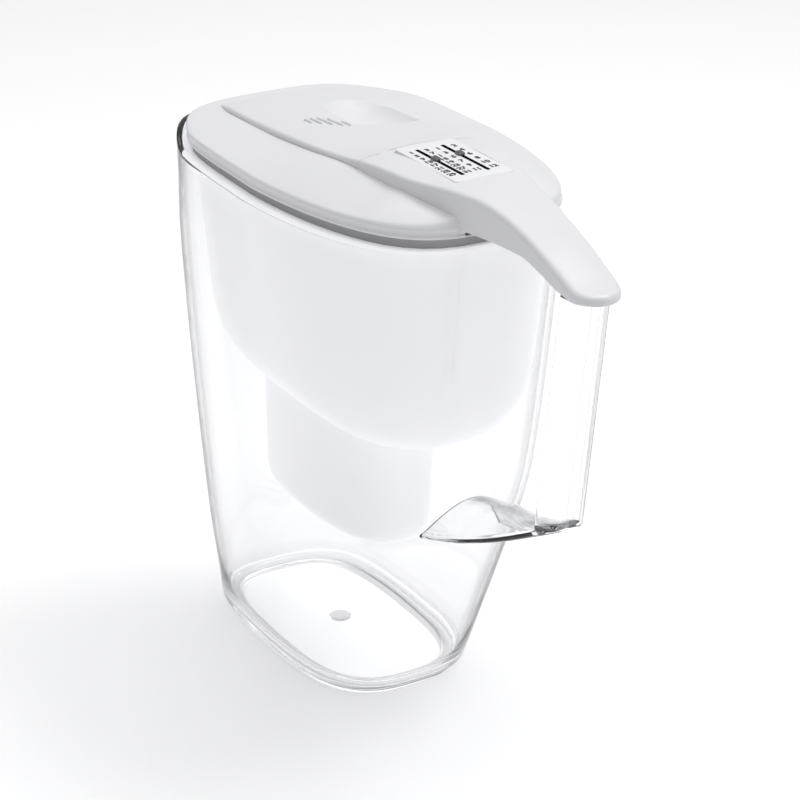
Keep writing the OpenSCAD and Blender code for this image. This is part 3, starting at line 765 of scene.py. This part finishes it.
def lid_shell():
    lid = dome(1.2, 0, "lid_top")
    xs = np.concatenate([np.linspace(69.1, 120, 48), np.linspace(121.2, 195, 60), 196 + 10.4 * np.sin(np.linspace(0, np.pi / 2, 26))])
    sp = solid("spine", [spine_ring(x, 0, 0, float(sp_b(x)), 1.7 + 0.8 * float(smooth((x - 90) / 50))) for x in xs])
    lid = boolean(lid, sp, "UNION")
    inner = dome(4.2, SKIN, "dome_in", True)
    lid = boolean(lid, inner, "DIFFERENCE")
    xs = np.concatenate([np.linspace(72.2, 120, 22), np.linspace(122, 202.4, 44)])
    si = solid("spine_in", [spine_ring(x, SKIN, SKIN, float(sp_b(x)) - 1.5, 1.0, 20) for x in xs])
    lid = boolean(lid, si, "DIFFERENCE")
    pad = boolean(box("pad", PX - 24.8, -16.5, 258.4, PX + 27, 16.5, 266),
                  solid("sp2", [spine_ring(x, 0.8, 0.6, float(sp_b(x)), 1.5) for x in np.linspace(70.2, 130, 30)]), "INTERSECT")
    lid = boolean(lid, pad, "UNION")
    lid = boolean(lid, prism("seat", rounded_rect(PX, 0, 49, 28, 2.5), RZ, 268), "DIFFERENCE")
    cutters = join("cuts", [prism("thr", rounded_rect(PX, 0, 43, 22, 2.5), 250, RZ + 1)])
    lid = boolean(lid, cutters, "DIFFERENCE")
    lid = boolean(lid, prism("opening", rounded_rect(2, 0, 96, 44, 7), 235, 275), "DIFFERENCE")
    for y, r in ((19.8, 3.05), (24.0, 1.98)):
        lid = boolean(lid, rod_y("trough", HX, HZ, -y, y, r, 96), "DIFFERENCE")
    lid = boolean(lid, capsule(24.9, "scoopclear"), "DIFFERENCE")
    lid = boolean(lid, box("pour", -80, -15, 236, -68.4, 15, 243.2), "DIFFERENCE")
    for y in (-14, 11):
        lug = boolean(rod_y("lug", HX, HZ, y, y + 3, 1.05, 32), box("foot", HX - 2.4, y + 0.02, HZ - 3, HX - 0.5, y + 2.98, HZ + 0.2), "UNION")
        lug = boolean(lug, rod_y("bore", HX, HZ, -19, 19, 0.55, 32), "DIFFERENCE")
        lid = boolean(lid, lug, "UNION")
    return lid


lid = lid_shell()
lid.name = "lid_top"
finish_piece(lid, "lid", M_LID, "lid_white", "lid_shell")


# --------------------------------------------------------------- flip cover
def scoop_depth(x, y):
    """Height of the finger scoop's surface, or a high value outside it."""
    # long slope on the spout side, steep end towards the handle
    dx = np.where(x > 7, 1.5 * np.maximum(x - 18.0, 0), 0.8 * np.maximum(-4.0 - x, 0))
    d2 = dx**2 + (y - 15.5) ** 2
    return np.where(d2 < 22.0**2, 269.8 - np.sqrt(np.maximum(22.0**2 - d2, 0)), 400.0)


def soft_min(a, b, k):
    h = np.clip(0.5 + 0.5 * (b - a) / k, 0, 1)
    return b * (1 - h) + a * h - k * h * (1 - h)


def cover_ring(x, ny=150, nu=56):
    a = float(sp_a(x)) - 0.1
    r = 1.5
    yt = np.linspace(-(a - r), a - r, ny)
    zt = soft_min(sp_top(x, yt), scoop_depth(x, yt), 0.5)
    th = np.linspace(0, np.pi / 2, 7)[1:]
    zr = float(sp_top(x, a - r))
    slope = float(2 * sp_c(x) * (a - r) / sp_a(x) ** 2)
    ys = a - r + r * np.sin(th)
    low = float(wing(x, a)) + 0.12
    hgt = max(0.4, zr - slope * r * 0.6 - low)
    rz = min(r, hgt * 0.8)
    zs = zr - rz * (1 - np.cos(th)) - slope * r * np.sin(th) * 0.6
    zf = soft_min(zs, scoop_depth(x, ys), 0.5)
    zn = soft_min(zs, scoop_depth(x, -ys), 0.5)
    zf, zn = np.maximum(zf, low + 0.15), np.maximum(zn, low + 0.15)
    # the front runs out into the wing
    g = float(smooth((x + 60.5) / 13))
    base = lambda v: wing(x, v) + (0.4 if x < -45 else 0.6)
    zt = base(yt) + (zt - base(yt)) * g
    zf, zn = base(ys) + (zf - base(ys)) * g, base(-ys) + (zn - base(-ys)) * g
    zf, zn = np.maximum(zf, low + 0.1), np.maximum(zn, low + 0.1)
    yu = np.linspace(a - 0.02, -(a - 0.02), nu)
    wz = wing(x, yu) + 0.15 + 0.2 * smooth((a - np.abs(yu)) / 1.5)
    under = wz if x >= -45 else wing(x, yu) + 0.12
    if x < -45:
        wz = under
    if x >= -45:
        under = np.minimum(wing(x, yu) + (0.9 if x > 40 else 0.35), np.minimum(sp_top(x, yu) - SKIN, scoop_depth(x, yu) - SKIN))
    f = smooth((23.3 - np.abs(yu)) / 1.6)
    zu = wz * (1 - f) + under * f
    top_at = soft_min(sp_top(x, yu), scoop_depth(x, yu), 0.5)
    zu = np.minimum(zu, top_at - 0.5) if x >= -45 else zu
    zu[0] = zu[-1] = low
    S = np.vstack([np.column_stack([yt, zt]), np.column_stack([ys, zf]), [[a, low]],
                   np.column_stack([yu[1:-1], zu[1:-1]]), [[-a, low]], np.column_stack([-ys[::-1], zn[::-1]])])
    return np.column_stack([np.full(len(S), x), S])


def flip_cover():
    xs = np.concatenate([[-60.0, -59.7, -59.2], np.linspace(-58.4, -26, 34), np.linspace(-25.5, 38, 150), np.linspace(39, 68.85, 34)])
    R = [cover_ring(x) for x in xs]
    cov = solid("cover", R, 50)
    ext = []
    for x in np.linspace(62, 71, 10):
        r = spine_ring(x, 0.12, 0.0, 243, 1.5, 60)
        ext.append(r)
    barrel = boolean(rod_y("barrel", HX, HZ, -19.4, 19.4, 2.4, 96), solid("ext", ext), "INTERSECT")
    cov = boolean(cov, barrel, "UNION", 50)
    cuts = [rod_y("b", HX, HZ, -17, 17, 0.55, 32)]
    for y in (-14.3, 10.7):
        cuts.append(rod_y("c", HX, HZ, y, y + 3.6, 1.35, 48))
    for c in cuts:
        cov = boolean(cov, c, "DIFFERENCE", 50)
    for y in (-14.3, 10.7):
        cov = boolean(cov, box("d", HX - 3.4, y + 0.01, HZ - 6, HX + 3.0, y + 3.59, HZ), "DIFFERENCE", 50)
        cov = boolean(cov, box("e", HX - 3.4, y + 0.02, HZ - 1, HX, y + 3.58, HZ + 0.35), "DIFFERENCE", 50)
    return cov


cover = flip_cover()
cover.name = "flip_cover_shell"
finish_piece(cover, "cover", M_LID, "lid_white", "flip_cover")


def ridges():
    V, F = [], []
    for (x0, x1, y) in ((-1, 6, -14.7), (-0.5, 11, -12.2), (1, 15.6, -9.6), (5.5, 20, -7), (13.5, 22, -4.4)):
        R = []
        for t in np.linspace(0, 1, 25):
            x = x0 + (x1 - x0) * t
            e = min(1.0, max(0.05, math.sin(math.pi * t) * 4)) ** 0.5
            a = np.linspace(0, 2 * np.pi, 16, endpoint=False)
            yy = y + 0.6 * e * np.cos(a)
            zz = sp_top(x, yy) + 0.85 * e * np.sin(a) - 0.05
            R.append(np.column_stack([np.full(16, x), yy, zz]))
        v, f = loft(R)
        F += [tuple(i + sum(len(q) for q in V) for i in q2) for q2 in f]
        V.append(v)
    return make("grip_ridges", np.vstack(V), F, angle=60)


rg = ridges()
finish_piece(rg, "cover", M_LID, "lid_white")


# --------------------------------------------------------------- reminder
def reminder_plate():
    P = lambda o, z: at(rounded_rect(PX, 0, 48.76 - 2 * o, 27.76 - 2 * o, 2.4, 10), z)
    ob = solid("indicator_plate", [P(0.25, RZ), P(0, RZ + 0.2), P(0, RZ + 2.15), P(0.1, RZ + 2.35), P(0.35, RZ + 2.45)], 30)
    for y in (-6.6, 5.6):
        ob = boolean(ob, prism("slot", rounded_rect(PX, y, 36, 1.9, 0.8), RZ - 1, RZ + 4), "DIFFERENCE", 30)
    return ob


pl = reminder_plate()
pl.name = "indicator_plate"
finish_piece(pl, "lid", M_PLATE, "plate_white", "reminder_plate")
# the plate's slot walls get the near-black painted-shade material
pl.data.materials.append(M_SLOT_SHADE)
for f in pl.data.polygons:
    if abs(f.normal.z) < 0.5 and abs(f.center.x / MM - PX) < 18.2 and min(abs(f.center.y / MM - y) for y in (-6.6, 5.6)) < 1:
        f.material_index = 1


def numeral(text, x, y, size):
    c = bpy.data.curves.new("n" + text, "FONT")
    c.body = text
    c.size = size * MM
    c.align_x, c.align_y = "CENTER", "CENTER"
    c.extrude = 0.00004
    c.offset = 0.0002
    c.resolution_u = 3
    o = bpy.data.objects.new("n" + text, c)
    scene.collection.objects.link(o)
    dg = bpy.context.evaluated_depsgraph_get()
    me = bpy.data.meshes.new_from_object(o.evaluated_get(dg))
    me.transform(Matrix.Translation((x * MM, y * MM, (RZ + 2.47) * MM)) @ Matrix.Rotation(math.radians(90), 4, "Z"))
    bpy.data.objects.remove(o)
    bpy.data.curves.remove(c)
    ob = bpy.data.objects.new("num", me)
    scene.collection.objects.link(ob)
    return ob


def numerals():
    obs = []
    for i in range(8):
        x = PX - 15.4 + i * 4.4
        obs.append(numeral(str(1 + 4 * i), x, -10.4, 3.8))
        obs.append(numeral(str(3 + 4 * i), x, -3.0, 3.8))
    for i in range(6):
        x = PX - 14.6 + i * 5.9
        obs.append(numeral(str(1 + 2 * i), x, 1.9, 3.9))
        obs.append(numeral(str(2 + 2 * i), x, 9.6, 3.9))
    return join("printed_scale", obs)


nums = numerals()
finish_piece(nums, "lid", M_PRINT, "slide_grey")


def slide(name, x, y):
    parts = []
    parts.append(prism("base", rounded_rect(x, y, 6, 4.4, 0.4, 4), 257, 258.2))
    parts.append(box("stem", x - 1.4, y - 0.6, 258, x + 1.4, y + 0.6, 262.3))
    K = lambda o, z: at(rounded_rect(x, y, 3.8 - 2 * o, 3.1 - 2 * o, 0.6, 6), z)
    parts.append(solid("knob", [K(0.15, 262.1), K(0, 262.25), K(0.05, 262.95), K(0.3, 263.2)]))
    for i in (-1.5, -0.5, 0.5, 1.5):
        R = [np.column_stack([np.full(10, x + i * 0.85) + 0.22 * np.cos(np.linspace(0, 2 * np.pi, 10, endpoint=False)),
                              np.full(10, yy), 263.15 + 0.28 * np.sin(np.linspace(0, 2 * np.pi, 10, endpoint=False))]) for yy in (y - 1.2, y + 1.2)]
        parts.append(solid("rib", R))
    ob = join(name, parts)
    shade(ob, 40)
    return ob


finish_piece(slide("month_knob", 93, 5.6), "month_slide", M_KNOB, "slide_grey", "month_slide")
finish_piece(slide("day_knob", 94, -6.6), "day_slide", M_KNOB, "slide_grey", "day_slide")

# --------------------------------------------------------------- CAD nodes that stay
for node, mat, edge in (("lid_liner", M_SHADE_LINER, 0.35), ("arm_underside", M_SHADE_LINER, 0.3), ("cartridge_body", M_CART, 0.3),
                        ("cartridge_cap", M_CART, 0.35), ("cartridge_grip", M_CART, 0.6), ("cartridge_seal", M_SEAL, 0.3),
                        ("upper_mesh", M_MESH, 0), ("lower_mesh", M_MESH, 0), ("carbon_bed", M_CARBON, 0), ("resin_bed", M_RESIN, 0),
                        ("hinge_pin", M_STEEL, 0), ("slide_track", M_SLOT_SHADE, 0)):
    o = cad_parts[node]
    for s in o.material_slots:
        s.link = "OBJECT"
        s.material = mat
    if edge:
        soften(o, edge)

# --------------------------------------------------------------- stage
floor_me = bpy.data.meshes.new("floor")
S = 4.0
floor_me.from_pydata([(-S, -S, 0), (S, -S, 0), (S, S, 0), (-S, S, 0)], [], [(0, 1, 2, 3)])
floor = bpy.data.objects.new("floor", floor_me)
scene.collection.objects.link(floor)
M_FLOOR = plastic("floor_white", (0.9, 0.9, 0.905), 0.9, vary=0.004, bump=0.0, spec=0.0, rough_vary=0.02, glow=0.17)
dress(floor, M_FLOOR)


def area(name, loc, target, size, power, size_y=None):
    d = bpy.data.lights.new(name, "AREA")
    d.energy, d.size = power, size
    if size_y:
        d.shape, d.size_y = "RECTANGLE", size_y
    o = bpy.data.objects.new(name, d)
    o.location = loc
    v = Vector(target) - Vector(loc)
    o.rotation_euler = v.to_track_quat("-Z", "Y").to_euler()
    scene.collection.objects.link(o)
    return o


area("key", (0.2, 0.6, 1.4), (0.04, 0, 0.1), 0.5, 5.6)
area("top", (-0.2, 0.0, 1.45), (0.04, 0, 0.1), 1.2, 6.0)

world = bpy.data.worlds.new("studio")
scene.world = world
world.use_nodes = True
wn = world.node_tree
wn.nodes.clear()
wo = wn.nodes.new("ShaderNodeOutputWorld")
bg = wn.nodes.new("ShaderNodeBackground")
wn.links.new(bg.outputs[0], wo.inputs["Surface"])
bg.inputs["Strength"].default_value = 1.0
wc = wn.nodes.new("ShaderNodeTexCoord")
wd = wn.nodes.new("ShaderNodeVectorMath")
wd.operation = "DOT_PRODUCT"
wd.inputs[1].default_value = (0.1, 0.55, 0.83)
wn.links.new(wc.outputs["Generated"], wd.inputs[0])
wr = wn.nodes.new("ShaderNodeValToRGB")
wr.color_ramp.elements[0].position = 0.0
wr.color_ramp.elements[0].color = (0.44, 0.445, 0.455, 1)
wr.color_ramp.elements[1].position = 0.9
wr.color_ramp.elements[1].color = (0.74, 0.74, 0.74, 1)
wn.links.new(wd.outputs["Value"], wr.inputs["Fac"])
wn.links.new(wr.outputs["Color"], bg.inputs["Color"])

# --------------------------------------------------------------- camera
A, D, HC, PITCH, HEAD = math.radians(60.52), 1.040, 0.5897, math.radians(24.43), math.radians(-1.565)
C = Vector((D * math.sin(A), -D * math.cos(A), HC))
ang = math.atan2(-C.y, -C.x) + HEAD
fwd = Vector((math.cos(ang) * math.cos(PITCH), math.sin(ang) * math.cos(PITCH), -math.sin(PITCH)))
right = Vector((math.sin(ang), -math.cos(ang), 0))
up = right.cross(fwd)
cam_d = bpy.data.cameras.new("camera")
cam_d.sensor_width, cam_d.lens = 36.0, 2489.5 / 800 * 36
cam_d.clip_start, cam_d.clip_end = 0.05, 30
cam = bpy.data.objects.new("camera", cam_d)
cam.matrix_world = Matrix(((right.x, up.x, -fwd.x, C.x), (right.y, up.y, -fwd.y, C.y), (right.z, up.z, -fwd.z, C.z), (0, 0, 0, 1)))
scene.collection.objects.link(cam)
scene.camera = cam

scene.view_settings.view_transform = "Standard"
scene.view_settings.look = "None"
scene.cycles.max_bounces = 24
scene.cycles.transmission_bounces = 20
scene.cycles.transparent_max_bounces = 40
scene.cycles.glossy_bounces = 8
